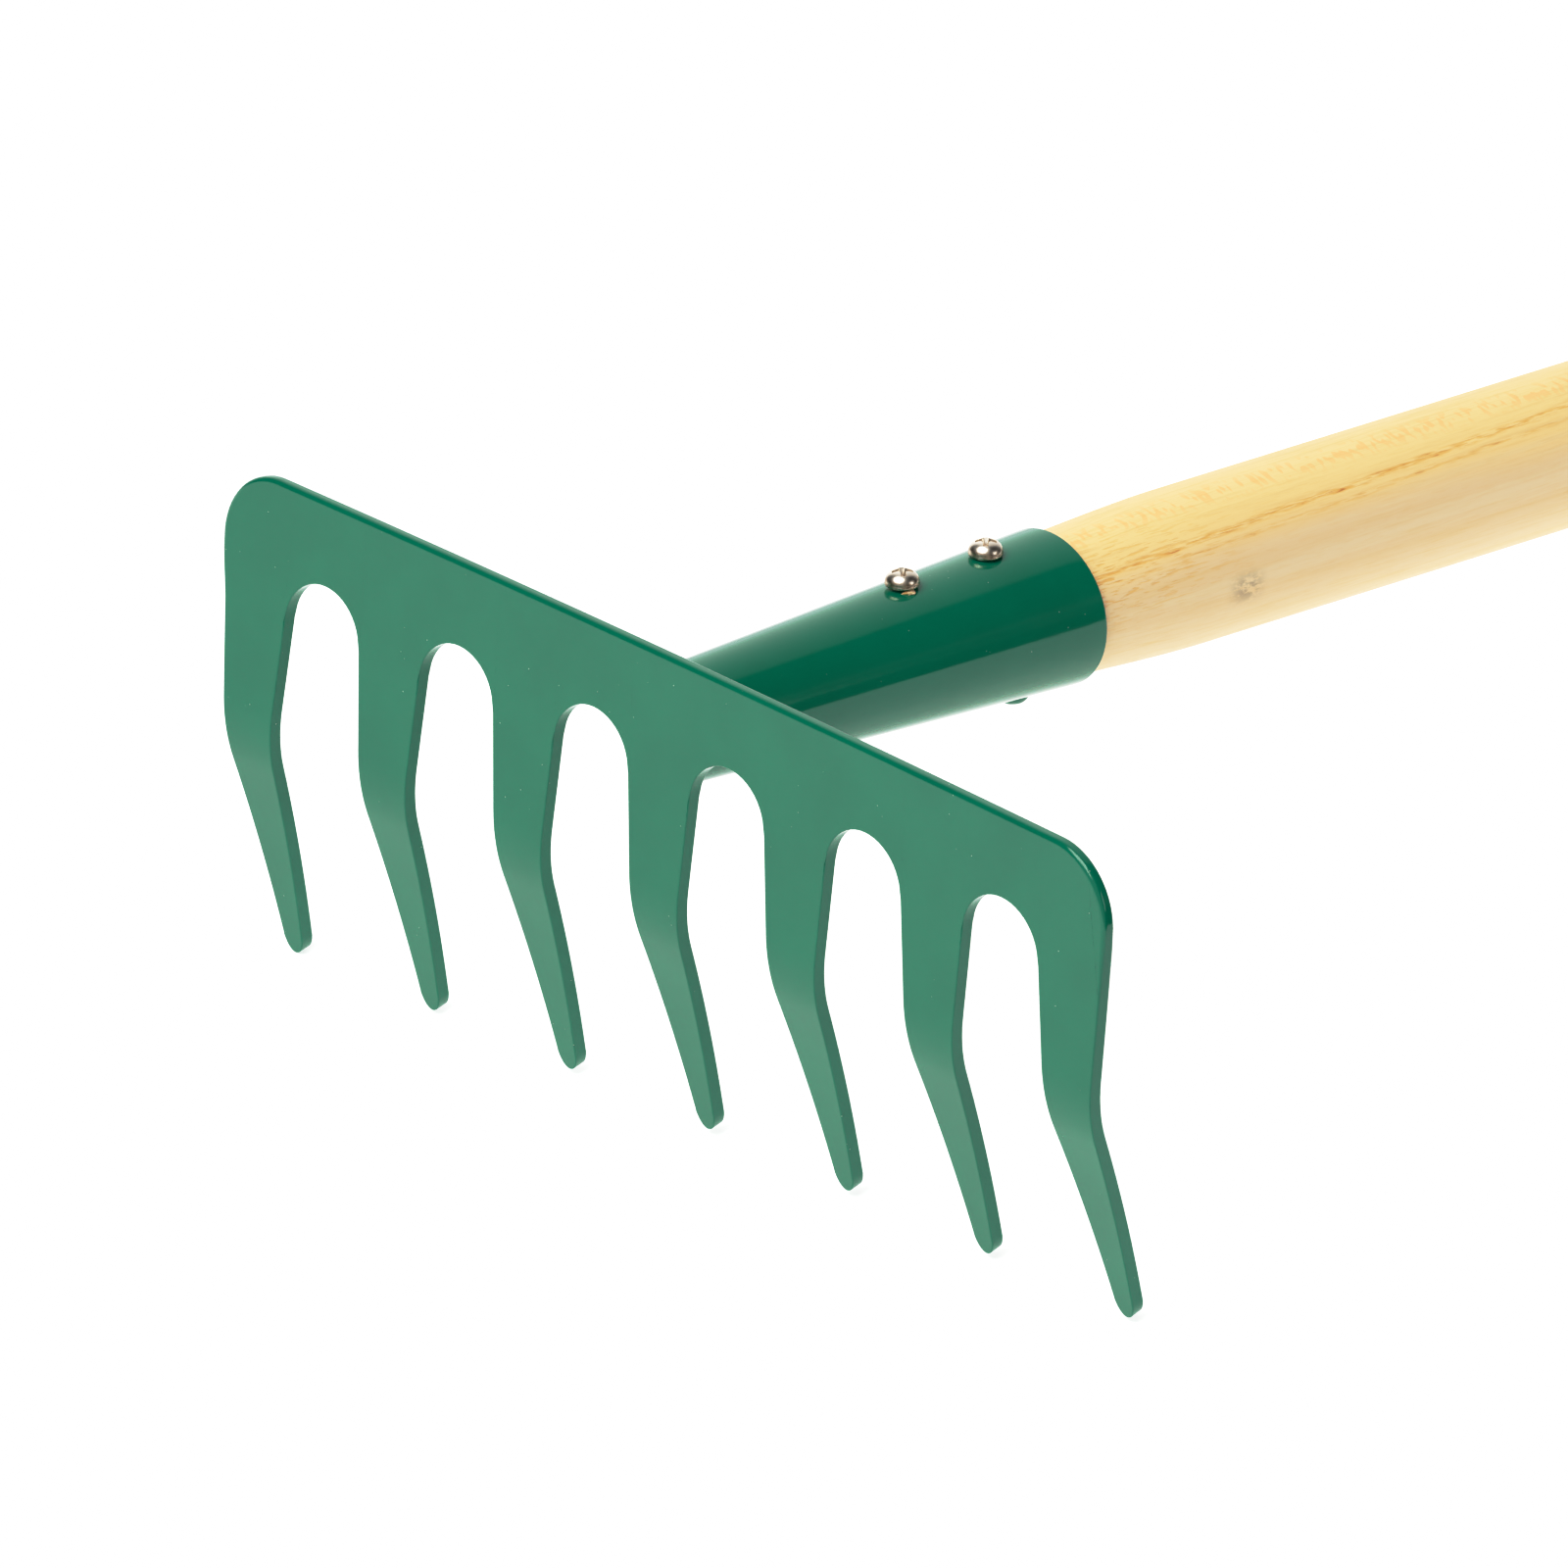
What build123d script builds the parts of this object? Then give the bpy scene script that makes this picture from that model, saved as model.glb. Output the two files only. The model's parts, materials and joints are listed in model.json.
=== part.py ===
from build123d import *
import os
from math import acos, asin, atan, atan2, cos, degrees, hypot, radians, sin, tan

os.makedirs("parts", exist_ok=True)

# A light seven-tine garden rake: a stamped steel head with its tines bent towards the handle, a rolled
# conical socket welded square to the back of the head, and a wooden handle held in it by two screws.
# It stands as it rests on level ground: tine tips and handle end touch z = 0, the handle runs along +Y,
# and the origin is the middle of the footprint. All sizes are in millimetres.

# Head plate. Depths are measured down the plate from its top edge.
tine_count = 7
tine_pitch = 31.0
plate_width = 202.2
sheet = 2.4
corner_radius = 11.6
slot_top_depth = 14.0
slot_radius = 8.5
tip_depth = 83.7
tip_half_width = 2.2
tip_round = 4.0

# Bend of the tines towards the handle, and the gentle curve the other way from there to the tips.
bend_depth = 38.4
bend_radius = 28.0
bend_angle = 22.7
recurve_radius = 360.0
recurve_spare = 1.0

# Socket, a truncated cone of rolled sheet with its seam underneath.
hub_depth = 12.5
socket_length = 82.6
socket_root_radius = 9.3
socket_mouth_radius = 12.9
socket_wall = 1.2
mouth_slope = 3.0
seam_gap = 0.6
bead_leg = 2.6
tack_radius = 3.4
tack_height = 2.0
tack_skirt = 1.0
tack_from_mouth = 7.0

# Handle.
handle_radius = 12.7
handle_reach = 780.0
nose_start = 24.0
nose_clearance = 0.1
shoulder_length = 28.0
end_round = 6.0

# Pan-head screws in the top of the socket.
head_radius = 2.8
head_height = 2.5
rim_height = 0.5
shank_radius = 1.3
screw_hole_radius = 1.6
screw_length = 13.0
screw_point = 3.0
recess_width = 0.95
recess_span = 3.8
recess_depth = 1.4
recess_lead = 0.2
recess_taper = 10.0
screws_from_mouth = {"front_screw": 32.7, "rear_screw": 14.7}

# Shape that follows from the sizes above. "Down" runs from the socket's axis towards the tips, and
# "back" along the handle, both from the hub, where that axis crosses the middle of the plate.
slot_centre_depth = slot_top_depth + slot_radius
tip_centre_depth = tip_depth - tip_round
cone_angle = atan((socket_mouth_radius - socket_root_radius) / socket_length)

# The flanks of a tine run straight from the slot's arch to the tip's half ellipse, and touch both. The
# outer flanks run straight from the plate's corners to the outer tips.
slant = (tine_pitch / 2 - slot_radius - tip_half_width) / (tip_centre_depth - slot_centre_depth)
slot_half_width = slot_radius * hypot(1, slant)
half_at_tip_centre = hypot(tip_half_width, tip_round * slant)
flank_end_half = tip_half_width**2 / half_at_tip_centre
flank_end_depth = tip_centre_depth + tip_round**2 * slant / half_at_tip_centre
outer_end = tine_pitch * (tine_count - 1) / 2 + flank_end_half
outer_slant = (plate_width / 2 - outer_end) / (flank_end_depth - corner_radius)
top_half_width = plate_width / 2 + corner_radius * outer_slant

# The sheet leans by the bend's angle after the bend, and by less at the tips.
turn = radians(bend_angle)
recurve_drop = tip_depth - bend_depth - bend_radius * sin(turn)
tip_turn = asin(sin(turn) - recurve_drop / recurve_radius)
recurve_angle = degrees(turn - tip_turn)

# The ground touches the back corners of the tips and the rounding of the handle's end, which gives the
# slope of the handle and the height of the hub.
tip_down = tip_depth - hub_depth
mid_tip_back = bend_radius * (1 - cos(turn)) + recurve_radius * (cos(tip_turn) - cos(turn))
tip_back = mid_tip_back + sheet / 2 / cos(tip_turn)
rise = tip_down - handle_radius + end_round
run = handle_reach - end_round - tip_back
slope = acos(end_round / hypot(rise, run)) - atan2(run, rise)
hub_height = tip_down * cos(slope) + tip_back * sin(slope)
front_reach = bend_radius * cos(slope) - (bend_depth - hub_depth) * sin(slope) - bend_radius - sheet / 2
back_reach = (handle_reach - end_round) * cos(slope) + (handle_radius - end_round) * sin(slope) + end_round
hub = Vector(0, -(front_reach + back_reach) / 2, hub_height)

# The tool plane has x along the bar, y down and z back. The side plane has x down and y back.
tool = Plane(hub, x_dir=(1, 0, 0), z_dir=(0, cos(slope), -sin(slope)))
side = Plane(hub, x_dir=tool.y_dir, z_dir=tool.x_dir)
tool_axis = Axis(hub, tool.z_dir)


def cone_radius(back):
    """Outer radius of the socket at a distance back from the hub."""
    return socket_root_radius + back * tan(cone_angle)


def seat_plane(back, direction):
    """Plane that touches the socket's crest (direction -1) or its underside (+1), facing outwards."""
    origin = side.from_local_coords(Vector(direction * cone_radius(back), back))
    outward = tool.y_dir * (direction * cos(cone_angle)) - tool.z_dir * sin(cone_angle)
    return Plane(origin, x_dir=tool.x_dir, z_dir=outward)


def section_plane(seat):
    """Plane through a seat's normal, with x along the bar and y outwards."""
    return Plane(seat.origin, x_dir=seat.x_dir, z_dir=seat.y_dir * -1)


# Front view of the head: a blank with rounded top corners that narrows downwards, arch-topped slots that
# widen downwards, and tine tips rounded to half ellipses.
with BuildSketch(tool) as head_outline:
    Polygon(
        (-top_half_width, -hub_depth),
        (top_half_width, -hub_depth),
        (outer_end, flank_end_depth - hub_depth),
        (-outer_end, flank_end_depth - hub_depth),
        align=None,
    )
    fillet(head_outline.vertices().group_by(Axis.Y)[0], corner_radius)
    with GridLocations(tine_pitch, 1, tine_count - 1, 1):
        with Locations((0, slot_centre_depth - hub_depth)):
            Circle(slot_radius, mode=Mode.SUBTRACT)
        Polygon(
            (-slot_half_width, slot_centre_depth - hub_depth),
            (slot_half_width, slot_centre_depth - hub_depth),
            (tine_pitch / 2 - flank_end_half, flank_end_depth - hub_depth),
            (flank_end_half - tine_pitch / 2, flank_end_depth - hub_depth),
            align=None,
            mode=Mode.SUBTRACT,
        )
    with GridLocations(tine_pitch, 1, tine_count, 1):
        with Locations((0, tip_centre_depth - hub_depth)):
            Ellipse(tip_half_width, tip_round)

# The head is that outline cut through a sheet bent across its whole width.
with BuildPart() as rake_head:
    with BuildSketch(side):
        with BuildLine():
            flat = Line((-hub_depth, -sheet / 2), (bend_depth - hub_depth, -sheet / 2))
            bend = JernArc(flat @ 1, flat % 1, bend_radius + sheet / 2, bend_angle)
            JernArc(bend @ 1, bend % 1, recurve_radius - sheet / 2, -recurve_angle - recurve_spare)
            offset(amount=sheet, side=Side.LEFT)
        make_face()
    extrude(amount=top_half_width, both=True)
    extrude(head_outline.sketch, amount=tip_depth, both=True, mode=Mode.INTERSECT)
rake_head.part.label = "rake_head"
export_step(rake_head.part, "parts/rake_head.step")

# Socket: a cone of sheet standing on the back of the plate, cut a little longer on its underside.
mouth_centre = hub + tool.z_dir * socket_length
mouth_normal = tool.z_dir * cos(radians(mouth_slope)) - tool.y_dir * sin(radians(mouth_slope))
mouth_plane = Plane(mouth_centre, x_dir=tool.x_dir, z_dir=mouth_normal)
past_mouth = socket_length + bead_leg
wall_across = socket_wall / cos(cone_angle)
with BuildPart() as socket:
    with BuildSketch(side):
        with BuildLine():
            Polyline(
                (cone_radius(sheet / 2), sheet / 2),
                (cone_radius(past_mouth), past_mouth),
                (cone_radius(past_mouth) - wall_across, past_mouth),
                (cone_radius(sheet / 2) - wall_across, sheet / 2),
                close=True,
            )
        make_face()
    revolve(axis=tool_axis)
    split(bisect_by=mouth_plane, keep=Keep.BOTTOM)
    with BuildSketch(tool):
        with Locations((0, socket_mouth_radius)):
            Rectangle(seam_gap, 2 * socket_wall + socket_mouth_radius)
    extrude(amount=past_mouth, mode=Mode.SUBTRACT)
    for from_mouth in screws_from_mouth.values():
        with BuildSketch(seat_plane(socket_length - from_mouth, -1)):
            Circle(screw_hole_radius)
        extrude(amount=2 * socket_wall, both=True, mode=Mode.SUBTRACT)
socket.part.label = "socket"
export_step(socket.part, "parts/socket.step")

# Fillet weld round the root of the socket, only where there is plate behind it.
with BuildPart() as socket_weld:
    with BuildSketch(side):
        with BuildLine():
            Polyline(
                (cone_radius(sheet / 2 + bead_leg), sheet / 2 + bead_leg),
                (cone_radius(sheet / 2), sheet / 2),
                (cone_radius(sheet / 2) + bead_leg, sheet / 2),
            )
            SagittaArc(
                (cone_radius(sheet / 2) + bead_leg, sheet / 2),
                (cone_radius(sheet / 2 + bead_leg), sheet / 2 + bead_leg),
                -bead_leg / 8,
            )
        make_face()
    revolve(axis=tool_axis)
    extrude(head_outline.sketch, amount=2 * bead_leg, mode=Mode.INTERSECT)
socket_weld.part.label = "socket_weld"
export_step(socket_weld.part, "parts/socket_weld.step")

# Domed tack weld that closes the seam near the mouth.
tack_seat = seat_plane(socket_length - tack_from_mouth, 1)
with BuildPart() as seam_tack:
    with BuildSketch(section_plane(tack_seat)):
        with BuildLine():
            Polyline((0, tack_height), (0, -tack_skirt), (tack_radius, -tack_skirt), (tack_radius, 0))
            ThreePointArc((tack_radius, 0), (tack_radius * 0.74, tack_height * 0.68), (0, tack_height))
        make_face()
    revolve(axis=Axis(tack_seat.origin, tack_seat.z_dir))
    with BuildSketch(side):
        with BuildLine():
            Polyline(
                (0, 0),
                (cone_radius(0), 0),
                (cone_radius(past_mouth), past_mouth),
                (0, past_mouth),
                close=True,
            )
        make_face()
    revolve(axis=tool_axis, mode=Mode.SUBTRACT)
seam_tack.part.label = "seam_tack"
export_step(seam_tack.part, "parts/seam_tack.step")

# Handle: a tapered nose inside the socket, a shoulder that swells behind the mouth, a round grip.
nose_gap = wall_across + nose_clearance
shoulder_back = socket_length + shoulder_length
shoulder_radius = cone_radius(socket_length) - nose_gap
with BuildPart() as handle:
    with BuildSketch(side):
        with BuildLine():
            Polyline(
                (0, handle_reach),
                (0, nose_start),
                (cone_radius(nose_start) - nose_gap, nose_start),
                (shoulder_radius, socket_length),
            )
            Bezier(
                (shoulder_radius, socket_length),
                (shoulder_radius + shoulder_length / 3 * tan(cone_angle), socket_length + shoulder_length / 3),
                (handle_radius, shoulder_back - shoulder_length / 2),
                (handle_radius, shoulder_back),
            )
            Line((handle_radius, shoulder_back), (handle_radius, handle_reach - end_round))
            RadiusArc(
                (handle_radius, handle_reach - end_round),
                (handle_radius - end_round, handle_reach),
                -end_round,
            )
            Line((handle_radius - end_round, handle_reach), (0, handle_reach))
        make_face()
    revolve(axis=tool_axis)
    for from_mouth in screws_from_mouth.values():
        with BuildSketch(seat_plane(socket_length - from_mouth, -1)):
            Circle(shank_radius)
        extrude(amount=-screw_length, mode=Mode.SUBTRACT)
handle.part.label = "handle"
export_step(handle.part, "parts/handle.step")

# Pan-head screws with a cross recess, seated on the crest of the socket.
for screw_name, from_mouth in screws_from_mouth.items():
    seat = seat_plane(socket_length - from_mouth, -1)
    with BuildPart() as screw:
        with BuildSketch(section_plane(seat)):
            with BuildLine():
                Polyline(
                    (0, head_height),
                    (0, -screw_length),
                    (shank_radius, screw_point - screw_length),
                    (shank_radius, 0),
                    (head_radius, 0),
                    (head_radius, rim_height),
                )
                dome = (head_radius * 0.68, rim_height + (head_height - rim_height) * 0.66)
                ThreePointArc((head_radius, rim_height), dome, (0, head_height))
            make_face()
        revolve(axis=Axis(seat.origin, seat.z_dir))
        for slot_size in ((recess_span, recess_width), (recess_width, recess_span)):
            with BuildSketch(seat.offset(head_height + recess_lead)):
                Rectangle(*slot_size)
            extrude(amount=-recess_lead - recess_depth, taper=recess_taper, mode=Mode.SUBTRACT)
    screw.part.label = screw_name
    export_step(screw.part, f"parts/{screw_name}.step")
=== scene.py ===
import json
from math import asin, atan, cos, pi, radians, sin, sqrt, tan

import bmesh
import bpy
from mathutils import Matrix, Vector


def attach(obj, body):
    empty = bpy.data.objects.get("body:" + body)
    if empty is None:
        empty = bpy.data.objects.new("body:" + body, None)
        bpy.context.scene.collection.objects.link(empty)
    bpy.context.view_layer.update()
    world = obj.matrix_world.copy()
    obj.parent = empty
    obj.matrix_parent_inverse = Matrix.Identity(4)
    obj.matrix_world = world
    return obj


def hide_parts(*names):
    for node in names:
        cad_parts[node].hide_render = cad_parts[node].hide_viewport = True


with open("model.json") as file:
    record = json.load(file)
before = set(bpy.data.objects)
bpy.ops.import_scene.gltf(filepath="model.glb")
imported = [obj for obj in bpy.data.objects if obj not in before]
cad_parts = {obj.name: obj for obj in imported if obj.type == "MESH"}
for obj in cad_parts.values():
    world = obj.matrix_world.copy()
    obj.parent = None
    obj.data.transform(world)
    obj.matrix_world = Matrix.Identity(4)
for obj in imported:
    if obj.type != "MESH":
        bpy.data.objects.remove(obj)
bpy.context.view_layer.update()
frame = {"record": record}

# Sizes are in metres. The tool frame has x along the bar, y down towards the tine tips and z back along
# the handle; its origin, the hub, is where the socket's axis crosses the middle of the plate.
MM = 0.001

# Head plate. Depths are measured down from its top edge.
TINES = 7
PITCH = 31.0 * MM
PLATE_WIDTH = 202.2 * MM
SHEET = 2.4 * MM
CORNER_RADIUS = 11.6 * MM
SLOT_TOP_DEPTH = 14.0 * MM
SLOT_RADIUS = 8.5 * MM
HUB_DEPTH = 12.5 * MM
TIP_DEPTH = 83.7 * MM
TIP_HALF_WIDTH = 2.2 * MM
TIP_ROUND = 4.0 * MM
BEND_DEPTH = 38.4 * MM
BEND_RADIUS = 28.0 * MM
BEND_ANGLE = radians(22.7)
RECURVE_RADIUS = 360.0 * MM
PLATE_EDGE = 0.9 * MM
PUNCHED_EDGE_SHARE = 0.25

# The stamped head isn't perfect: it is twisted along its width about the bend, its ends hang lower, and
# its sides are cut a little off centre.
TWIST = radians(21.3)
CROWN = 0.75 * MM
CROWN_LIFT = 0.32 * MM
SIDE_SHIFT = 0.42 * MM

# Socket, weld and tack.
SOCKET_LENGTH = 82.6 * MM
ROOT_RADIUS = 9.3 * MM
MOUTH_RADIUS = 12.9 * MM
SOCKET_WALL = 1.2 * MM
MOUTH_SLOPE = radians(3.0)
MOUTH_SIDE_SLOPE = radians(2.1)
SEAM_GAP = 0.5 * MM
BEAD_LEG = 2.5 * MM
TACK_FROM_MOUTH = 7.0 * MM
TACK_RADIUS = 3.0 * MM
TACK_HEIGHT = 2.0 * MM

# Handle.
HANDLE_RADIUS = 12.7 * MM
HANDLE_REACH = 780.0 * MM
NOSE_START = 24.0 * MM
NOSE_GAP = 1.3 * MM
SHOULDER_LENGTH = 28.0 * MM
END_ROUND = 6.0 * MM
HANDLE_BOW = 1.5 * MM

# Screws. Neither head is quite down on the socket.
HEAD_RADIUS = 2.8 * MM
HEAD_HEIGHT = 2.5 * MM
RIM_HEIGHT = 0.5 * MM
CORE_RADIUS = 1.0 * MM
THREAD_RADIUS = 1.35 * MM
THREAD_PITCH = 1.1 * MM
SCREW_LENGTH = 13.0 * MM
SCREW_POINT = 3.0 * MM
FRONT_SCREW_FROM_MOUTH = 32.7 * MM
REAR_SCREW_FROM_MOUTH = 14.7 * MM
FRONT_SCREW_LIFT = 0.5 * MM
REAR_SCREW_LIFT = 0.3 * MM
RECESS_HALF_SPAN = 2.05 * MM
RECESS_HALF_WIDTH = 0.48 * MM
RECESS_DEPTH = 1.4 * MM

SLOT_CENTRE_DEPTH = SLOT_TOP_DEPTH + SLOT_RADIUS
TIP_CENTRE_DEPTH = TIP_DEPTH - TIP_ROUND
SLANT = (PITCH / 2 - SLOT_RADIUS - TIP_HALF_WIDTH) / (TIP_CENTRE_DEPTH - SLOT_CENTRE_DEPTH)
ROOT_HALF_WIDTH = PITCH / 2 - SLOT_RADIUS * sqrt(1 + SLANT**2)
OUTER_CENTRE = (TINES - 1) / 2 * PITCH
CONE_ANGLE = atan((MOUTH_RADIUS - ROOT_RADIUS) / SOCKET_LENGTH)


# ---------------------------------------------------------------------------------------------------
# The tool frame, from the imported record's mounts
# ---------------------------------------------------------------------------------------------------


def tool_matrix(record):
    """Matrix from the tool frame to the row frame."""
    mounts = {mount["name"]: mount for mount in record["mounts"]}
    back = Vector(mounts["handle_grip"]["axis"]).normalized()
    right = Vector((1, 0, 0))
    down = back.cross(right)
    hub = Vector(mounts["bar_face"]["pos_m"]) + back * SHEET / 2
    return Matrix.LocRotScale(hub, Matrix((right, down, back)).transposed(), None)


TOOL = tool_matrix(frame["record"])


def cone_radius(back):
    """Outer radius of the socket at a distance back from the hub."""
    return ROOT_RADIUS + back * tan(CONE_ANGLE)


def seat_matrix(from_mouth, direction, lift=0.0, turn=0.0):
    """Seat on the socket's crest (direction -1) or underside (+1), with z outwards."""
    back = SOCKET_LENGTH - from_mouth
    outward = Vector((0, direction * cos(CONE_ANGLE), -sin(CONE_ANGLE)))
    across = Vector((1, 0, 0))
    along = outward.cross(across)
    origin = Vector((0, direction * cone_radius(back), back)) + outward * lift
    basis = Matrix((across, along, outward)).transposed().to_4x4()
    return TOOL @ Matrix.Translation(origin) @ basis @ Matrix.Rotation(turn, 4, "Z")


# ---------------------------------------------------------------------------------------------------
# Mesh helpers
# ---------------------------------------------------------------------------------------------------


def finish_mesh(bm, name, matrix, material):
    """Makes an object of a bmesh, smooth shaded, in its place in the row frame."""
    bmesh.ops.recalc_face_normals(bm, faces=bm.faces)
    mesh = bpy.data.meshes.new(name)
    bm.to_mesh(mesh)
    bm.free()
    mesh.shade_smooth()
    mesh.materials.append(material)
    obj = bpy.data.objects.new(name, mesh)
    bpy.context.scene.collection.objects.link(obj)
    obj.matrix_world = matrix
    return obj


def seat_piece(obj, node):
    """Makes obj stand for a CAD node and ride with the rake."""
    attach(obj, "root")
    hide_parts(node)


def bevel_edges(obj, width, segments, angle):
    """Rounds edges sharper than an angle, or by their weights, and keeps flat faces flat in shading."""
    bevel = obj.modifiers.new("edges", "BEVEL")
    bevel.width = width
    bevel.segments = segments
    bevel.limit_method = "ANGLE" if angle else "WEIGHT"
    if angle:
        bevel.angle_limit = angle
    bevel.harden_normals = True


def lathe(bm, profile, angles, closed, place):
    """Grid of quads: place(radius, z, angle) for each profile point and angle. Poles share one vertex."""
    rings = []
    for radius, z in profile:
        if radius == 0.0:
            rings.append([bm.verts.new(place(0.0, z, 0.0))] * len(angles))
        else:
            rings.append([bm.verts.new(place(radius, z, angle)) for angle in angles])
    steps = len(angles) if closed else len(angles) - 1
    for near, far in zip(rings, rings[1:]):
        for i in range(steps):
            j = (i + 1) % len(angles)
            corners = dict.fromkeys((near[i], near[j], far[j], far[i]))
            bm.faces.new(list(corners))
    return rings


def around(radius, z, angle):
    """Point at an angle from straight down, about the z axis."""
    return Vector((radius * sin(angle), radius * cos(angle), z))


def full_turn(count):
    return [2 * pi * i / count for i in range(count)]


def arc_points(centre, radius, start, end, count):
    """Points of an arc in a plane, both ends included."""
    turns = [start + (end - start) * i / count for i in range(count + 1)]
    return [(centre[0] + radius * cos(turn), centre[1] + radius * sin(turn)) for turn in turns]


# ---------------------------------------------------------------------------------------------------
# Rake head
# ---------------------------------------------------------------------------------------------------


def tine_flanks(centre, depth):
    """Left and right edge of a tine; the outer tines' outer edges start from the plate's corners."""
    half = ROOT_HALF_WIDTH - SLANT * (depth - SLOT_CENTRE_DEPTH)
    left, right = centre - half, centre + half
    end_half, end_depth = flank_end()
    share = (depth - CORNER_RADIUS) / (end_depth - CORNER_RADIUS)
    end = (OUTER_CENTRE + end_half) * share
    left_outer = side_reach(-1) * (1 - share) + end
    right_outer = side_reach(1) * (1 - share) + end
    return max(left, -left_outer), min(right, right_outer)


def side_reach(sign):
    """Distance from the middle to the plate's left (-1) or right (+1) side, under its corner."""
    return PLATE_WIDTH / 2 - sign * SIDE_SHIFT


def flank_end():
    """Half width and depth where a tine's flanks meet the half ellipse of its tip."""
    at_centre = sqrt(TIP_HALF_WIDTH**2 + (TIP_ROUND * SLANT) ** 2)
    return TIP_HALF_WIDTH**2 / at_centre, TIP_CENTRE_DEPTH + TIP_ROUND**2 * SLANT / at_centre


def sheet_lean(depth):
    """Angle by which the sheet leans back at a depth: the bend, then the gentle curve the other way."""
    past_start = depth - BEND_DEPTH
    bend_drop = BEND_RADIUS * sin(BEND_ANGLE)
    if past_start < bend_drop:
        return asin(max(0.0, past_start) / BEND_RADIUS)
    return asin(sin(BEND_ANGLE) - (past_start - bend_drop) / RECURVE_RADIUS)


def sheet_point(x, depth, side):
    """Point of the bent sheet in the tool frame; side is -1 on the front and +1 on the back."""
    lean = sheet_lean(depth)
    behind = BEND_RADIUS * (1 - cos(lean))
    if depth > BEND_DEPTH + BEND_RADIUS * sin(BEND_ANGLE):
        behind = BEND_RADIUS * (1 - cos(BEND_ANGLE)) + RECURVE_RADIUS * (cos(lean) - cos(BEND_ANGLE))
    half = side * SHEET / 2
    below_bend = depth - BEND_DEPTH - half * sin(lean)
    back = behind + half * cos(lean)
    twist = TWIST * x
    hang = CROWN * (x / OUTER_CENTRE) ** 2 - CROWN_LIFT
    down = BEND_DEPTH - HUB_DEPTH + below_bend * cos(twist) - back * sin(twist) + hang
    return Vector((x, down, below_bend * sin(twist) + back * cos(twist)))


def row_depths():
    """Depths of the rows of faces down a tine, close together where it bends."""
    bend_end = BEND_DEPTH + BEND_RADIUS * sin(BEND_ANGLE)
    straight = [SLOT_CENTRE_DEPTH + (BEND_DEPTH - SLOT_CENTRE_DEPTH) * i / 5 for i in range(5)]
    bend = [BEND_DEPTH + BEND_RADIUS * sin(BEND_ANGLE * i / 12) for i in range(12)]
    lower = [bend_end + (flank_end()[1] - bend_end) * i / 12 for i in range(13)]
    return straight + bend + lower


def tine_faces(centre):
    """Polygons of (x, depth) from the slots' centres to the tip."""
    faces = []
    rows = row_depths()
    for upper, lower in zip(rows, rows[1:]):
        (a, b), (c, d) = tine_flanks(centre, upper), tine_flanks(centre, lower)
        faces.append([(a, upper), (b, upper), (d, lower), (c, lower)])
    start = asin((rows[-1] - TIP_CENTRE_DEPTH) / TIP_ROUND)
    turns = [start + (pi - 2 * start) * i / 16 for i in range(17)]
    tip = [(centre + TIP_HALF_WIDTH * cos(t), TIP_CENTRE_DEPTH + TIP_ROUND * sin(t)) for t in turns]
    left, right = tine_flanks(centre, rows[-1])
    tip[0], tip[-1] = (right, rows[-1]), (left, rows[-1])
    faces.append(tip)
    return faces


def outer_block(sign):
    """Polygon above an outer tine, with the plate's rounded corner."""
    left, right = tine_flanks(sign * OUTER_CENTRE, SLOT_CENTRE_DEPTH)
    inner, outer = (left, right) if sign > 0 else (right, left)
    end_half, end_depth = flank_end()
    slope = atan((side_reach(sign) - OUTER_CENTRE - end_half) / (end_depth - CORNER_RADIUS))
    centre = (sign * (side_reach(sign) - CORNER_RADIUS / cos(slope)), CORNER_RADIUS)
    corner = arc_points(centre, CORNER_RADIUS, -pi / 2, -pi / 2 + sign * (pi / 2 + slope), 16)
    return [(inner, 0.0), *corner, (outer, SLOT_CENTRE_DEPTH), (inner, SLOT_CENTRE_DEPTH)]


def head_outline_faces():
    """Polygons of (x, depth) that cover the front of the head."""
    centres = [i * PITCH - OUTER_CENTRE for i in range(TINES)]
    faces = [face for centre in centres for face in tine_faces(centre)]
    for centre in centres[1:-1]:
        left, right = centre - ROOT_HALF_WIDTH, centre + ROOT_HALF_WIDTH
        faces.append([(left, 0.0), (right, 0.0), (right, SLOT_CENTRE_DEPTH), (left, SLOT_CENTRE_DEPTH)])
    faces += [outer_block(-1), outer_block(1)]
    for left, right in zip(centres, centres[1:]):
        start, end = left + ROOT_HALF_WIDTH, right - ROOT_HALF_WIDTH
        arch = arc_points(((left + right) / 2, SLOT_CENTRE_DEPTH), SLOT_RADIUS, -pi, 0.0, 24)
        arch[0], arch[-1] = (start, SLOT_CENTRE_DEPTH), (end, SLOT_CENTRE_DEPTH)
        tops = [(start + (end - start) * i / 24, 0.0) for i in range(25)]
        for i in range(24):
            faces.append([tops[i], tops[i + 1], arch[i + 1], arch[i]])
    return faces


def edge_share(edge):
    """Share of the full rounding: all of it along the top and corners, little on sides, slots and tines."""
    depth = (edge.verts[0].co.y + edge.verts[1].co.y) / 2
    fade = min(1.0, max(0.0, depth / CORNER_RADIUS - 1))
    across = abs(edge.verts[0].co.x + edge.verts[1].co.x) / 2
    outside = across > OUTER_CENTRE or depth < SLOT_TOP_DEPTH
    return PUNCHED_EDGE_SHARE + (1 - PUNCHED_EDGE_SHARE) * (1 - fade) * outside


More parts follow.
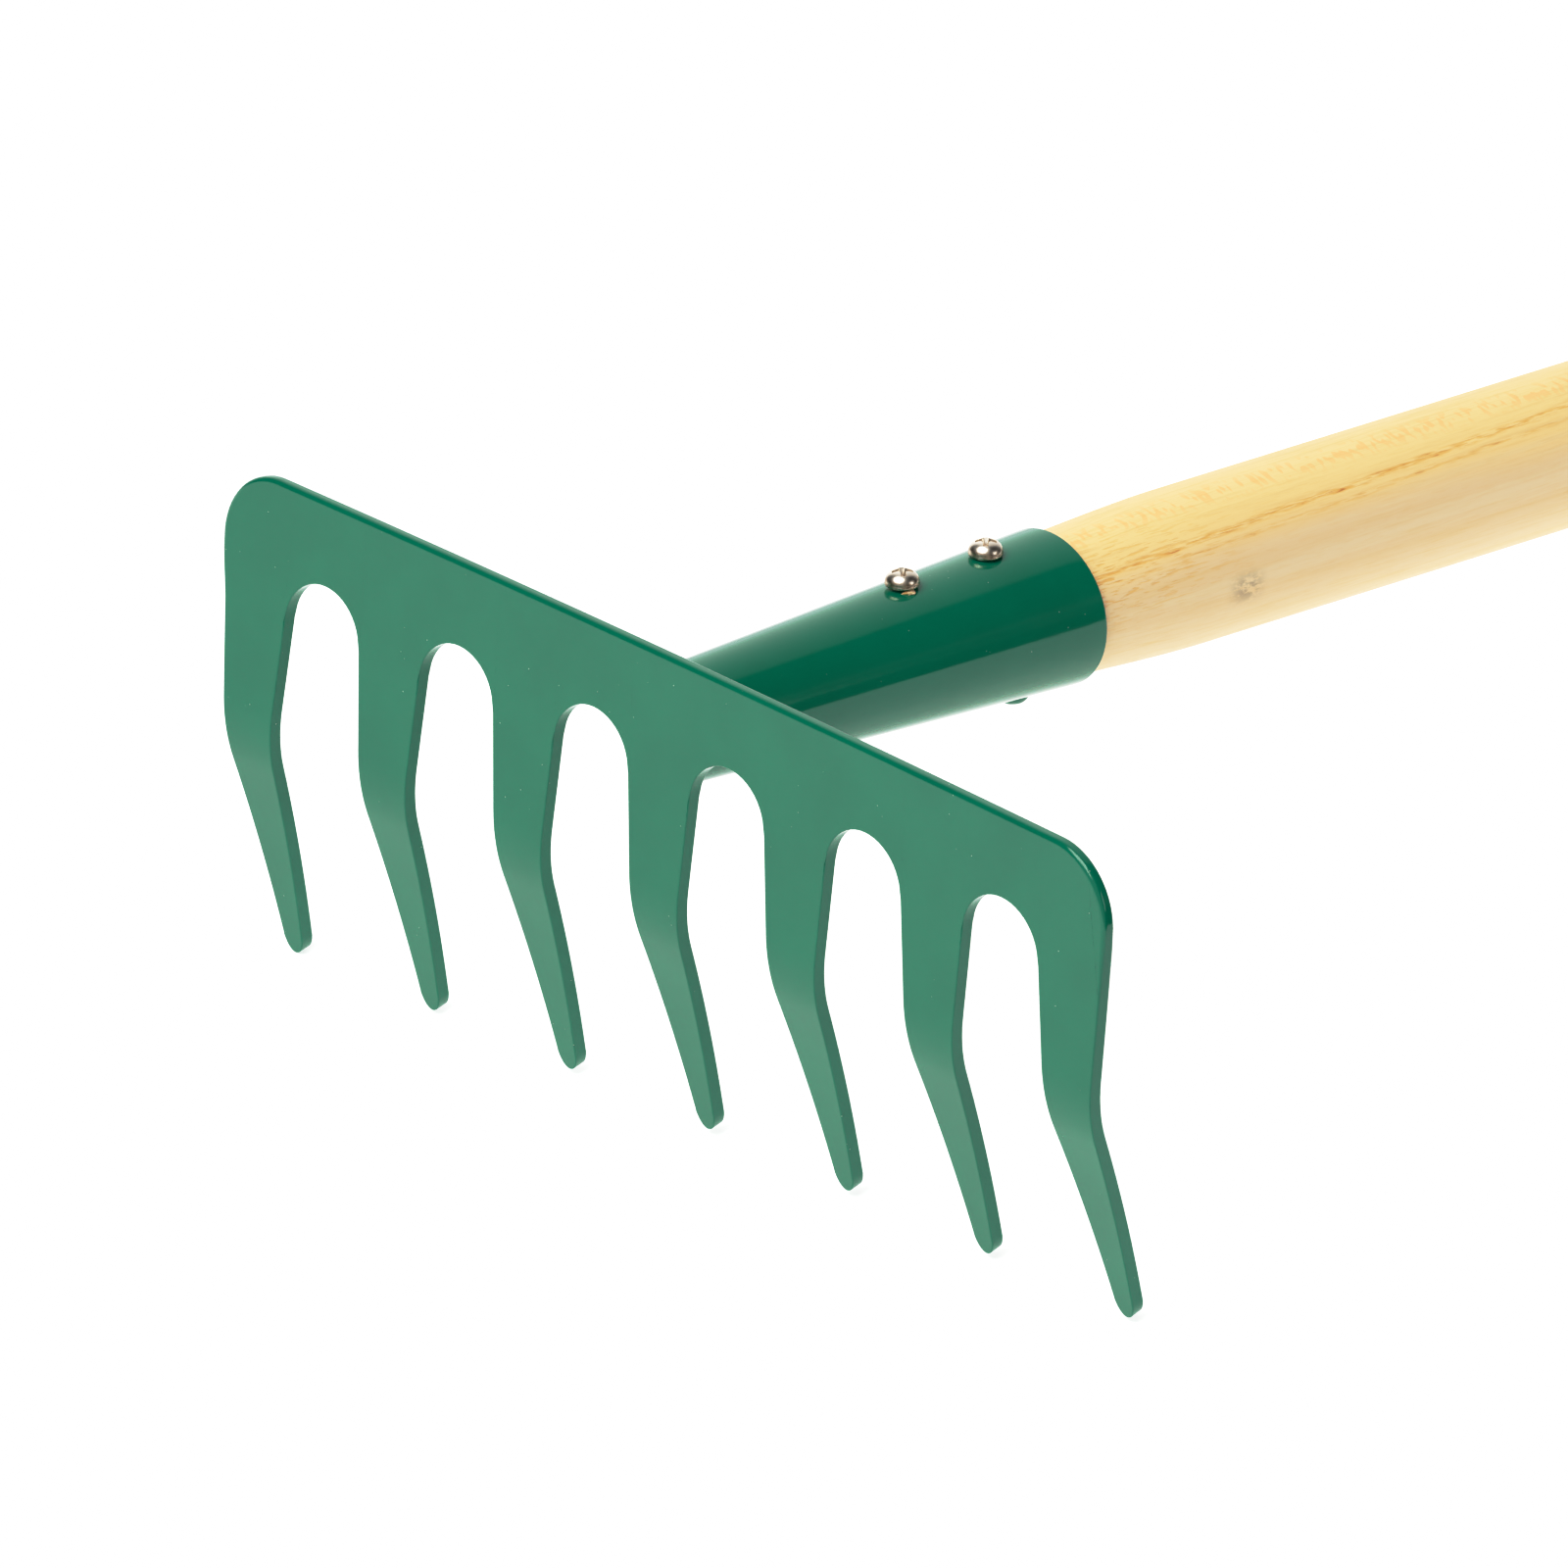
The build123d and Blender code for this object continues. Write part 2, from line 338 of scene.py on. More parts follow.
def make_rake_head(material):
    bm = bmesh.new()
    known = {}
    for face in head_outline_faces():
        corners = []
        for x, depth in face:
            key = (round(x / MM, 4), round(depth / MM, 4))
            if key not in known:
                known[key] = bm.verts.new((x, depth, -1.0))
            corners.append(known[key])
        bm.faces.new(list(dict.fromkeys(corners)))
    grown = bmesh.ops.extrude_face_region(bm, geom=bm.faces[:], use_keep_orig=True)
    for vert in (part for part in grown["geom"] if isinstance(part, bmesh.types.BMVert)):
        vert.co.z = 1.0
    bmesh.ops.recalc_face_normals(bm, faces=bm.faces)
    weight = bm.edges.layers.float.new("bevel_weight_edge")
    for edge in bm.edges:
        if edge.calc_face_angle() > radians(50):
            edge[weight] = edge_share(edge)
    for vert in bm.verts:
        vert.co = sheet_point(*vert.co)
    head = finish_mesh(bm, "rake_head_enamelled", TOOL, material)
    bevel_edges(head, PLATE_EDGE, 5, None)
    seat_piece(head, "rake_head")
    return head


# ---------------------------------------------------------------------------------------------------
# Socket, weld and tack
# ---------------------------------------------------------------------------------------------------


def socket_place(radius, z, angle):
    """Socket wall: slightly out of round, lifted along the seam, longer underneath and on one side."""
    from_seam = min(angle, 2 * pi - angle)
    out_of_round = 0.06 * MM * cos(2 * angle + 0.6) + 0.04 * MM * cos(3 * angle + 40 * z)
    seam_lift = 0.16 * MM * max(0.0, 1 - from_seam / 0.35) ** 2
    share = z / SOCKET_LENGTH
    shaped = radius + (out_of_round + seam_lift) * share
    slope = tan(MOUTH_SLOPE) * cos(angle) + tan(MOUTH_SIDE_SLOPE) * sin(angle)
    return around(shaped, z + slope * radius * share**3, angle)


def make_socket(material):
    bm = bmesh.new()
    wall = SOCKET_WALL / cos(CONE_ANGLE)
    edge = SOCKET_WALL * 0.42
    root = SHEET / 2
    rows = [root + (SOCKET_LENGTH - edge - root) * i / 24 for i in range(25)]
    outer = [(cone_radius(z), z) for z in rows]
    rim_outer = arc_points((cone_radius(SOCKET_LENGTH) - edge, SOCKET_LENGTH - edge), edge, 0.0, pi / 2, 5)
    rim_inner_centre = (cone_radius(SOCKET_LENGTH) - wall + edge, SOCKET_LENGTH - edge)
    rim_inner = arc_points(rim_inner_centre, edge, pi / 2, pi, 5)
    inner = [(cone_radius(z) - wall, z) for z in reversed(rows)]
    profile = outer + rim_outer[1:] + rim_inner + inner[1:]
    opening = SEAM_GAP / MOUTH_RADIUS / 2
    count = 120
    angles = [opening + (2 * pi - 2 * opening) * i / count for i in range(count + 1)]
    rings = lathe(bm, profile + profile[:1], angles, False, socket_place)
    bmesh.ops.remove_doubles(bm, verts=rings[0] + rings[-1], dist=0.001 * MM)
    seam_sides = [edge for edge in bm.edges if edge.is_boundary]
    bmesh.ops.holes_fill(bm, edges=seam_sides)
    socket = finish_mesh(bm, "socket_rolled", TOOL, material)
    bevel_edges(socket, 0.18 * MM, 2, radians(60))
    seat_piece(socket, "socket")
    return socket


def bead_reach(angle):
    """How far the weld spreads from the socket before the plate ends at a slot."""
    reach = BEAD_LEG
    inner = cone_radius(SHEET / 2)
    for step in range(25):
        radius = inner + BEAD_LEG * step / 24
        x, depth = abs(radius * sin(angle)), radius * cos(angle) + HUB_DEPTH
        if depth > SLOT_CENTRE_DEPTH:
            clear = tine_flanks(0.0, depth)[1] - x
        else:
            clear = sqrt((x - PITCH / 2) ** 2 + (depth - SLOT_CENTRE_DEPTH) ** 2) - SLOT_RADIUS
        if clear < 0.45 * MM:
            reach = BEAD_LEG * step / 24
            break
    return max(reach, 0.25 * MM)


def make_socket_weld(material):
    """Fillet weld: a slightly full bead with overlapping ripples round the root of the socket."""
    bm = bmesh.new()
    count = 220
    steps = 9
    inner = cone_radius(SHEET / 2)
    reaches = [bead_reach(angle) for angle in full_turn(count)]
    smooth = [sum(reaches[(i + k) % count] for k in range(-4, 5)) / 9 for i in range(count)]
    rings = []
    for i, angle in enumerate(full_turn(count)):
        ripple = 1 + 0.07 * sin(angle * 34) + 0.04 * sin(angle * 9 + 1)
        reach, rise = min(reaches[i], smooth[i]) * ripple, 0.9 * smooth[i] * ripple
        ring = []
        for k in range(steps + 1):
            turn = pi / 2 * k / steps
            full = 1 + 0.10 * sin(2 * turn) - 0.30 * sin(2 * turn)
            radius = inner - 0.25 * MM + (reach + 0.25 * MM) * (1 - sin(turn)) * full
            back = SHEET / 2 - 0.1 * MM + rise * (1 - cos(turn)) * full
            ring.append(bm.verts.new(around(radius, back, angle)))
        ring.append(bm.verts.new(around(inner - 0.6 * MM, SHEET / 2 - 0.1 * MM, angle)))
        rings.append(ring)
    for near, far in zip(rings, rings[1:] + rings[:1]):
        for k in range(len(near)):
            j = (k + 1) % len(near)
            bm.faces.new((near[k], near[j], far[j], far[k]))
    weld = finish_mesh(bm, "socket_weld_bead", TOOL, material)
    seat_piece(weld, "socket_weld")
    return weld


def make_seam_tack(material):
    """Tack weld: a low blob, a little uneven, that runs out onto the socket."""
    bm = bmesh.new()
    seat = seat_matrix(TACK_FROM_MOUTH, 1)
    into_tool = TOOL.inverted() @ seat

    def place(radius, z, angle):
        uneven = 1 + 0.05 * sin(2 * angle + 0.5) + 0.03 * sin(5 * angle)
        point = Vector((radius * uneven * sin(angle), radius * uneven * cos(angle), z))
        fall = cone_radius(SOCKET_LENGTH - TACK_FROM_MOUTH)
        point.z -= fall - sqrt(fall**2 - point.x**2)
        return into_tool @ point

    profile = [(0.0, -0.5 * MM), (TACK_RADIUS * 1.04, -0.3 * MM), (TACK_RADIUS * 1.03, 0.0)]
    for k in range(1, 12):
        turn = pi / 2 * k / 12
        profile.append((TACK_RADIUS * cos(turn) ** 0.8, TACK_HEIGHT * sin(turn) ** 1.15))
    profile.append((0.0, TACK_HEIGHT))
    lathe(bm, profile, full_turn(40), True, place)
    tack = finish_mesh(bm, "seam_tack_weld", TOOL, material)
    seat_piece(tack, "seam_tack")
    return tack


# ---------------------------------------------------------------------------------------------------
# Handle
# ---------------------------------------------------------------------------------------------------


def shoulder_radius(share):
    """Radius between the mouth and the full grip, on a smooth curve."""
    start = cone_radius(SOCKET_LENGTH) - NOSE_GAP
    run_in = start + SHOULDER_LENGTH / 3 * tan(CONE_ANGLE)
    weights = ((1 - share) ** 3, 3 * share * (1 - share) ** 2, 3 * share**2 * (1 - share), share**3)
    return sum(w * r for w, r in zip(weights, (start, run_in, HANDLE_RADIUS, HANDLE_RADIUS)))


def handle_place(radius, z, angle):
    """The handle bows down a little between the socket and its end."""
    share = max(0.0, z - SOCKET_LENGTH) / (HANDLE_REACH - SOCKET_LENGTH)
    return around(radius, z, angle) + Vector((0, HANDLE_BOW * sin(pi * share), 0))


def make_handle(material):
    bm = bmesh.new()
    profile = [(0.0, NOSE_START), (cone_radius(NOSE_START) - NOSE_GAP - 0.8 * MM, NOSE_START)]
    nose_rows = 10
    for i in range(nose_rows):
        z = NOSE_START + 0.8 * MM + (SOCKET_LENGTH - NOSE_START - 0.8 * MM) * i / nose_rows
        profile.append((cone_radius(z) - NOSE_GAP, z))
    for i in range(15):
        profile.append((shoulder_radius(i / 15), SOCKET_LENGTH + SHOULDER_LENGTH * i / 15))
    grip_start, grip_end = SOCKET_LENGTH + SHOULDER_LENGTH, HANDLE_REACH - END_ROUND
    for i in range(41):
        profile.append((HANDLE_RADIUS, grip_start + (grip_end - grip_start) * i / 41))
    profile += arc_points((HANDLE_RADIUS - END_ROUND, grip_end), END_ROUND, 0.0, pi / 2, 10)
    profile += [(4.0 * MM, HANDLE_REACH), (0.0, HANDLE_REACH)]
    lathe(bm, profile, full_turn(96), True, handle_place)
    handle = finish_mesh(bm, "handle_turned", TOOL, material)
    seat_piece(handle, "handle")
    return handle


# ---------------------------------------------------------------------------------------------------
# Screws
# ---------------------------------------------------------------------------------------------------


def screw_place(radius, z, angle):
    """Head as turned; the shank gets a coarse thread that fades out at its point."""
    if z >= 0 or radius == 0:
        return around(radius, z, angle)
    phase = (z / THREAD_PITCH - angle / (2 * pi)) % 1.0
    tooth = max(0.0, 1 - abs(phase - 0.5) * 3.2)
    fade = min(1.0, max(0.0, (z + SCREW_LENGTH) / SCREW_POINT))
    core = CORE_RADIUS * min(1.0, 0.12 + fade)
    return around(core + (THREAD_RADIUS - CORE_RADIUS) * tooth * fade, z, angle)


def screw_profile():
    shank_rows = 96
    profile = [(0.0, -SCREW_LENGTH)]
    for i in range(1, shank_rows + 1):
        profile.append((CORE_RADIUS, -SCREW_LENGTH + SCREW_LENGTH * i / (shank_rows + 1)))
    profile += [(CORE_RADIUS, 0.0), (HEAD_RADIUS - 0.25 * MM, 0.0), (HEAD_RADIUS - 0.08 * MM, 0.05 * MM)]
    profile += [(HEAD_RADIUS, 0.2 * MM), (HEAD_RADIUS, 0.45 * MM), (HEAD_RADIUS - 0.03 * MM, RIM_HEIGHT)]
    dome_rows = 16
    for i in range(1, dome_rows):
        turn = pi / 2 * i / dome_rows
        dome = HEAD_HEIGHT - RIM_HEIGHT
        profile.append(((HEAD_RADIUS - 0.03 * MM) * cos(turn) ** 0.9, RIM_HEIGHT + dome * sin(turn)))
    profile.append((0.0, HEAD_HEIGHT))
    return profile


def recess_cutters():
    """Tapered wings and centre cone of the cross recess, as separate closed meshes."""
    top, bottom = HEAD_HEIGHT + 0.3 * MM, HEAD_HEIGHT - RECESS_DEPTH
    cutters = []
    for turn in (0.0, pi / 2):
        bm = bmesh.new()
        rings = []
        for z, share in ((top, 1.0), (bottom, 0.55)):
            half_span, half_width = RECESS_HALF_SPAN * share, RECESS_HALF_WIDTH * share
            corners = ((-1, -1), (1, -1), (1, 1), (-1, 1))
            points = [Vector((sx * half_span, sy * half_width, z)) for sx, sy in corners]
            rings.append([bm.verts.new(Matrix.Rotation(turn, 3, "Z") @ point) for point in points])
        for i in range(4):
            j = (i + 1) % 4
            bm.faces.new((rings[0][i], rings[0][j], rings[1][j], rings[1][i]))
        bm.faces.new(rings[0])
        bm.faces.new(rings[1])
        cutters.append(bm)
    cone = bmesh.new()
    points = [(0.0, bottom - 0.25 * MM), (0.55 * MM, bottom), (0.95 * MM, top), (0.0, top)]
    lathe(cone, points, full_turn(24), True, around)
    cutters.append(cone)
    return cutters


def cut(obj, cutter_meshes, name):
    """Takes each cutter away from obj and keeps the result as obj's own mesh."""
    scene = bpy.context.scene
    helpers = []
    for bm in cutter_meshes:
        bmesh.ops.recalc_face_normals(bm, faces=bm.faces)
        mesh = bpy.data.meshes.new("cutter")
        bm.to_mesh(mesh)
        bm.free()
        helper = bpy.data.objects.new("cutter", mesh)
        helper.matrix_world = obj.matrix_world
        scene.collection.objects.link(helper)
        modifier = obj.modifiers.new("recess", "BOOLEAN")
        modifier.operation = "DIFFERENCE"
        modifier.solver = "EXACT"
        modifier.object = helper
        helpers.append(helper)
    bpy.context.view_layer.update()
    evaluated = obj.evaluated_get(bpy.context.evaluated_depsgraph_get())
    mesh = bpy.data.meshes.new_from_object(evaluated)
    mesh.name = name
    obj.modifiers.clear()
    obj.data = mesh
    for helper in helpers:
        bpy.data.objects.remove(helper)


def make_screw(node, seat, material):
    bm = bmesh.new()
    lathe(bm, screw_profile(), full_turn(64), True, screw_place)
    screw = finish_mesh(bm, node + "_nickel", seat, material)
    cut(screw, recess_cutters(), node + "_nickel")
    bevel_edges(screw, 0.07 * MM, 2, radians(38))
    seat_piece(screw, node)
    return screw


def make_splinters(seat, material):
    """Curled wood fibres squeezed out from under one side of the front screw's head."""
    bm = bmesh.new()
    fibres = (
        (2.45, radians(-50), radians(68), 0.62, 0.30, 0.10),
        (2.75, radians(-22), radians(34), 0.40, 0.18, 0.30),
        (2.15, radians(-36), radians(60), 0.70, 0.20, 0.0),
    )
    for radius, start, sweep, height, thick, tilt in fibres:
        rings = []
        for i in range(17):
            share = i / 16
            angle = start + sweep * share
            swell = sin(pi * share) ** 0.6
            wander = 0.12 * sin(9 * share + radius)
            centre = Vector(((radius + wander) * MM * cos(angle), (radius + wander) * MM * sin(angle), 0))
            out = Vector((cos(angle), sin(angle), 0))
            ring = []
            for k in range(8):
                turn = 2 * pi * k / 8
                across = thick * swell * cos(turn) + 0.02
                up = height * swell * (0.5 + 0.5 * sin(turn)) - 0.25 - tilt * 0.2
                ring.append(bm.verts.new(centre + (out * across + Vector((0, 0, up))) * MM))
            rings.append(ring)
        for near, far in zip(rings, rings[1:]):
            for k in range(8):
                j = (k + 1) % 8
                bm.faces.new((near[k], near[j], far[j], far[k]))
        bm.faces.new(rings[0])
        bm.faces.new(rings[-1])
    splinters = finish_mesh(bm, "wood_splinters", seat, material)
    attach(splinters, "root")
    return splinters


# ---------------------------------------------------------------------------------------------------
# Material helpers
# ---------------------------------------------------------------------------------------------------


def add(tree, kind, inputs=None, **settings):
    """Adds a node; an input is a value or the output socket that feeds it."""
    node = tree.nodes.new(kind)
    for name, value in settings.items():
        setattr(node, name, value)
    for name, value in (inputs or {}).items():
        if isinstance(value, bpy.types.NodeSocket):
            tree.links.new(value, node.inputs[name])
        else:
            node.inputs[name].default_value = value
    return node


def calc(tree, operation, *values, clamp=False):
    node = tree.nodes.new("ShaderNodeMath")
    node.operation = operation
    node.use_clamp = clamp
    for socket, value in zip(node.inputs, values):
        if isinstance(value, bpy.types.NodeSocket):
            tree.links.new(value, socket)
        else:
            socket.default_value = value
    return node.outputs[0]


def noise(tree, vector, per_metre, detail=3.0, roughness=0.5, distortion=0.0):
    """Noise from 0 to 1 with a feature about every 1 / per_metre metres."""
    inputs = {"Vector": vector, "Scale": per_metre, "Detail": detail}
    inputs.update({"Roughness": roughness, "Distortion": distortion})
    return add(tree, "ShaderNodeTexNoise", inputs).outputs["Fac"]


def ramp(tree, value, low, high):
    """0 below low, 1 above high, smooth between."""
    inputs = {"Value": value, "From Min": low, "From Max": high}
    node = add(tree, "ShaderNodeMapRange", inputs, interpolation_type="SMOOTHSTEP")
    return node.outputs["Result"]


def blend_colours(tree, share, first, second):
    node = tree.nodes.new("ShaderNodeMix")
    node.data_type = "RGBA"
    for socket, value in ((node.inputs[0], share), (node.inputs[6], first), (node.inputs[7], second)):
        if isinstance(value, bpy.types.NodeSocket):
            tree.links.new(value, socket)
        elif isinstance(value, tuple):
            socket.default_value = (*value, 1.0)
        else:
            socket.default_value = value
    return node.outputs[2]


def stretched(tree, vector, scale, turn=0.0):
    """Coordinates turned about z, then scaled along each axis."""
    turned = add(tree, "ShaderNodeMapping", {"Vector": vector, "Rotation": (0.0, 0.0, turn)})
    return add(tree, "ShaderNodeMapping", {"Vector": turned.outputs[0], "Scale": scale}).outputs[0]


def bump(tree, height, depth, strength=1.0, under=None):
    """Bump of a height from 0 to 1, that deep in metres."""
    inputs = {"Height": height, "Distance": depth, "Strength": strength}
    if under is not None:
        inputs["Normal"] = under
    return add(tree, "ShaderNodeBump", inputs).outputs["Normal"]


def new_material(name):
    material = bpy.data.materials.new(name)
    material.use_nodes = True
    tree = material.node_tree
    tree.nodes.clear()
    shader = add(tree, "ShaderNodeBsdfPrincipled")
    add(tree, "ShaderNodeOutputMaterial", {"Surface": shader.outputs[0]})
    return material, tree, shader


def set_inputs(tree, shader, **inputs):
    """Sets or links the shader's sockets; an underscore in a name stands for a space."""
    for name, value in inputs.items():
        socket = shader.inputs[name.replace("_", " ")]
        if isinstance(value, bpy.types.NodeSocket):
            tree.links.new(value, socket)
        else:
            socket.default_value = value


# ---------------------------------------------------------------------------------------------------
# Materials
# ---------------------------------------------------------------------------------------------------

GREEN = (0.0, 0.160, 0.091)
GREEN_THIN = (0.0, 0.172, 0.099)
DUST = (0.40, 0.55, 0.46)


def enamel(name, peel=1.0):
    """Gloss green enamel with orange peel, faint unevenness of colour and a few specks of dust."""
    material, tree, shader = new_material(name)
    place = add(tree, "ShaderNodeTexCoord").outputs["Object"]
    patches = noise(tree, place, 60.0, 4.0)
    tint = blend_colours(tree, ramp(tree, patches, 0.3, 0.7), GREEN, GREEN_THIN)
    specks = add(tree, "ShaderNodeTexVoronoi", {"Vector": place, "Scale": 420.0}, feature="F1")
    rare = ramp(tree, noise(tree, place, 40.0, 2.0), 0.44, 0.56)
    speck = calc(tree, "MULTIPLY", ramp(tree, specks.outputs["Distance"], 0.050, 0.022), rare)
    set_inputs(tree, shader, Base_Color=blend_colours(tree, speck, tint, DUST))
    smear = ramp(tree, noise(tree, place, 35.0, 3.0, 0.6), 0.35, 0.75)
    gloss = calc(tree, "MULTIPLY_ADD", smear, 0.05, 0.07)
    set_inputs(tree, shader, Roughness=calc(tree, "MULTIPLY_ADD", speck, 0.4, gloss), IOR=1.5)
    wide = bump(tree, noise(tree, place, 420.0, 1.0), 0.010 * MM * peel)
    fine = bump(tree, noise(tree, place, 1500.0, 2.0), 0.0016 * MM * peel, under=wide)
    set_inputs(tree, shader, Normal=bump(tree, speck, 0.05 * MM, under=fine))
    return material


WOOD_YELLOW = (0.860, 0.610, 0.325)
WOOD_CREAM = (0.765, 0.580, 0.385)
WOOD_GRAIN = (0.720, 0.500, 0.250)
WOOD_PORE = (0.720, 0.400, 0.090)
WOOD_PORE_DEEP = (0.420, 0.190, 0.045)
WOOD_FIBRE = (0.790, 0.650, 0.460)
WOOD_FLECK = (0.900, 0.500, 0.240)
WOOD_GREY = (0.330, 0.280, 0.210)

# The figure of the wood: angles round the handle from its crest towards +x, distances back from the hub.
YELLOW_TO = 58.0
PORE_LINE = 51.0
PORE_LINE_BACK = 84.0
PORE_LINE_TURN = -0.158
FLECK_BAND = 12.0
SMUDGE_ANGLE = 91.6
SMUDGE_BACK = 113.6
COARSE_TO = 122.0


def handle_place_nodes(tree, place):
    """Angle round the handle in degrees and distance back in millimetres."""
    parts = add(tree, "ShaderNodeSeparateXYZ", {"Vector": place}).outputs
    up = calc(tree, "MULTIPLY", parts["Y"], -1.0)
    angle = calc(tree, "MULTIPLY", calc(tree, "ARCTAN2", parts["X"], up), 180 / pi)
    return angle, calc(tree, "DIVIDE", parts["Z"], MM)


def nearness(tree, value, middle, half_width):
    """1 at the middle, falling to 0 a half width away."""
    away = calc(tree, "ABSOLUTE", calc(tree, "SUBTRACT", value, middle))
    return ramp(tree, away, half_width, 0.0)


def beech(name):
    """Pale sanded wood: yellower on top, broken pore lines, ray flecks, coarse dashes by the socket."""
    material, tree, shader = new_material(name)
    place = add(tree, "ShaderNodeTexCoord").outputs["Object"]
    angle, back = handle_place_nodes(tree, place)
    drift = noise(tree, stretched(tree, place, (90.0, 90.0, 12.0)), 1.0, 2.0)
    yellow_edge = calc(tree, "MULTIPLY_ADD", drift, 30.0, YELLOW_TO - 15.0)
    yellow = ramp(tree, calc(tree, "SUBTRACT", angle, yellow_edge), 14.0, -14.0)
    tone = blend_colours(tree, yellow, WOOD_CREAM, WOOD_YELLOW)
    grain = noise(tree, stretched(tree, place, (1500.0, 1500.0, 45.0)), 1.0, 4.0, 0.65)
    streaks = noise(tree, stretched(tree, place, (420.0, 420.0, 9.0)), 1.0, 3.0, 0.55)
    soft = calc(tree, "MULTIPLY", ramp(tree, grain, 0.46, 0.72), 0.42)
    tone = blend_colours(tree, soft, tone, WOOD_GRAIN)
    grainy = calc(tree, "MULTIPLY", ramp(tree, streaks, 0.52, 0.75), 0.30)
    tone = blend_colours(tree, grainy, tone, WOOD_GRAIN)

    pale = calc(tree, "MULTIPLY", ramp(tree, streaks, 0.50, 0.36), nearness(tree, angle, 78.0, 44.0))
    tone = blend_colours(tree, calc(tree, "MULTIPLY", pale, 0.50), tone, WOOD_FIBRE)

    fleck_at = stretched(tree, place, (430.0, 430.0, 950.0))
    fleck_noise = noise(tree, fleck_at, 1.0, 0.5, 0.4)
    in_band = nearness(tree, angle, FLECK_BAND, 16.0)
    fleck = calc(tree, "MULTIPLY", ramp(tree, fleck_noise, 0.50, 0.60), in_band)
    tone = blend_colours(tree, calc(tree, "MULTIPLY", fleck, 0.80), tone, WOOD_FLECK)

    dashes = noise(tree, stretched(tree, place, (2600.0, 2600.0, 230.0)), 1.0, 2.0, 0.6)
    turned = calc(tree, "MULTIPLY_ADD", back, PORE_LINE_TURN, PORE_LINE - PORE_LINE_TURN * PORE_LINE_BACK)
    wander = noise(tree, stretched(tree, place, (0.0, 0.0, 60.0)), 1.0, 2.0)
    line = calc(tree, "MULTIPLY_ADD", calc(tree, "SUBTRACT", wander, 0.5), 7.0, turned)
    near_line = nearness(tree, angle, line, 4.6)
    second = calc(tree, "MULTIPLY", nearness(tree, angle, calc(tree, "ADD", line, 9.0), 3.5), 0.55)
    lined = calc(tree, "MAXIMUM", near_line, second)
    in_line = calc(tree, "MULTIPLY", lined, ramp(tree, dashes, 0.38, 0.60))
    coarse = calc(tree, "MULTIPLY", ramp(tree, back, COARSE_TO, 84.0), nearness(tree, angle, 56.0, 50.0))
    scattered = calc(tree, "MULTIPLY_ADD", coarse, 0.75, 0.10)
    by_socket = calc(tree, "MULTIPLY", scattered, ramp(tree, dashes, 0.52, 0.62))
    pore = calc(tree, "MAXIMUM", in_line, by_socket)
    tone = blend_colours(tree, calc(tree, "MULTIPLY", pore, 0.80), tone, WOOD_PORE)
    deep = calc(tree, "MULTIPLY", in_line, ramp(tree, dashes, 0.60, 0.72))
    tone = blend_colours(tree, calc(tree, "MULTIPLY", deep, 0.70), tone, WOOD_PORE_DEEP)

    smudge_across = nearness(tree, angle, SMUDGE_ANGLE, 17.0)
    smudge = calc(tree, "MULTIPLY", smudge_across, nearness(tree, back, SMUDGE_BACK, 5.0))
    rubbing = noise(tree, stretched(tree, place, (900.0, 900.0, 420.0)), 1.0, 3.0, 0.7)
    rubbed = calc(tree, "MULTIPLY", smudge, ramp(tree, rubbing, 0.36, 0.56))
    tone = blend_colours(tree, calc(tree, "MULTIPLY", rubbed, 0.75), tone, WOOD_GREY)
    set_inputs(tree, shader, Base_Color=tone, IOR=1.45)
    set_inputs(tree, shader, Roughness=calc(tree, "MULTIPLY_ADD", grain, 0.25, 0.45))
    rough = bump(tree, grain, 0.05 * MM)
    set_inputs(tree, shader, Normal=bump(tree, calc(tree, "SUBTRACT", 1.0, pore), 0.06 * MM, under=rough))
    return material


NICKEL = (0.79, 0.72, 0.62)
# Darker, browner colour painted as shade in the screws' recesses and low on their heads.
NICKEL_SHADE_BROWN = (0.42, 0.33, 0.24)


def nickel(name):
    """Bright nickel plate, warm, with painted shade (a darker, browner colour) in its recess and low on the
    head, and with hairline scratches.
    """
    material, tree, shader = new_material(name)
    place = add(tree, "ShaderNodeTexCoord").outputs["Object"]
    depth = add(tree, "ShaderNodeSeparateXYZ", {"Vector": place}).outputs["Z"]
    blotches = noise(tree, place, 900.0, 3.0)
    # Painted shade: below about 1.75 mm up the head, in the recess and round the lower dome, the colour
    # turns darker and browner, broken up by noise.
    low = ramp(tree, depth, 1.75 * MM, 0.9 * MM)
    low_shade = calc(tree, "MULTIPLY", low, ramp(tree, blotches, 0.25, 0.6))
    set_inputs(tree, shader, Base_Color=blend_colours(tree, low_shade, NICKEL, NICKEL_SHADE_BROWN), Metallic=1.0)
    set_inputs(tree, shader, Roughness=calc(tree, "MULTIPLY_ADD", blotches, 0.16, 0.23))
    lines = noise(tree, stretched(tree, place, (400.0, 9000.0, 400.0), 0.6), 1.0, 2.0)
    set_inputs(tree, shader, Normal=bump(tree, lines, 0.003 * MM))
    return material


FLOOR = (0.75, 0.75, 0.74)
FLOOR_GLOW = 0.50


def floor_paper(name):
    """Plain pale floor that glows a little, as a lit table does, so that shadows stay soft."""
    material, tree, shader = new_material(name)
    place = add(tree, "ShaderNodeTexCoord").outputs["Object"]
    mottle = noise(tree, place, 6.0, 2.0)
    paler = tuple(part + 0.02 for part in FLOOR)
    set_inputs(tree, shader, Base_Color=blend_colours(tree, mottle, FLOOR, paler), Roughness=0.9)
    set_inputs(tree, shader, Emission_Color=(1.0, 1.0, 1.0, 1.0), Emission_Strength=FLOOR_GLOW)
    set_inputs(tree, shader, Specular_IOR_Level=0.2)
    return material


# ---------------------------------------------------------------------------------------------------
# Studio and camera
# ---------------------------------------------------------------------------------------------------

AZIMUTH = radians(46.84)
ELEVATION = radians(25.73)
ROLL = radians(-0.55)
DISTANCE = 6.9226
FOCAL_MM = 1003.9
SENSOR_MM = 36.0
LOOK_AT = Vector((-66.8, 87.6, -62.0)) * MM


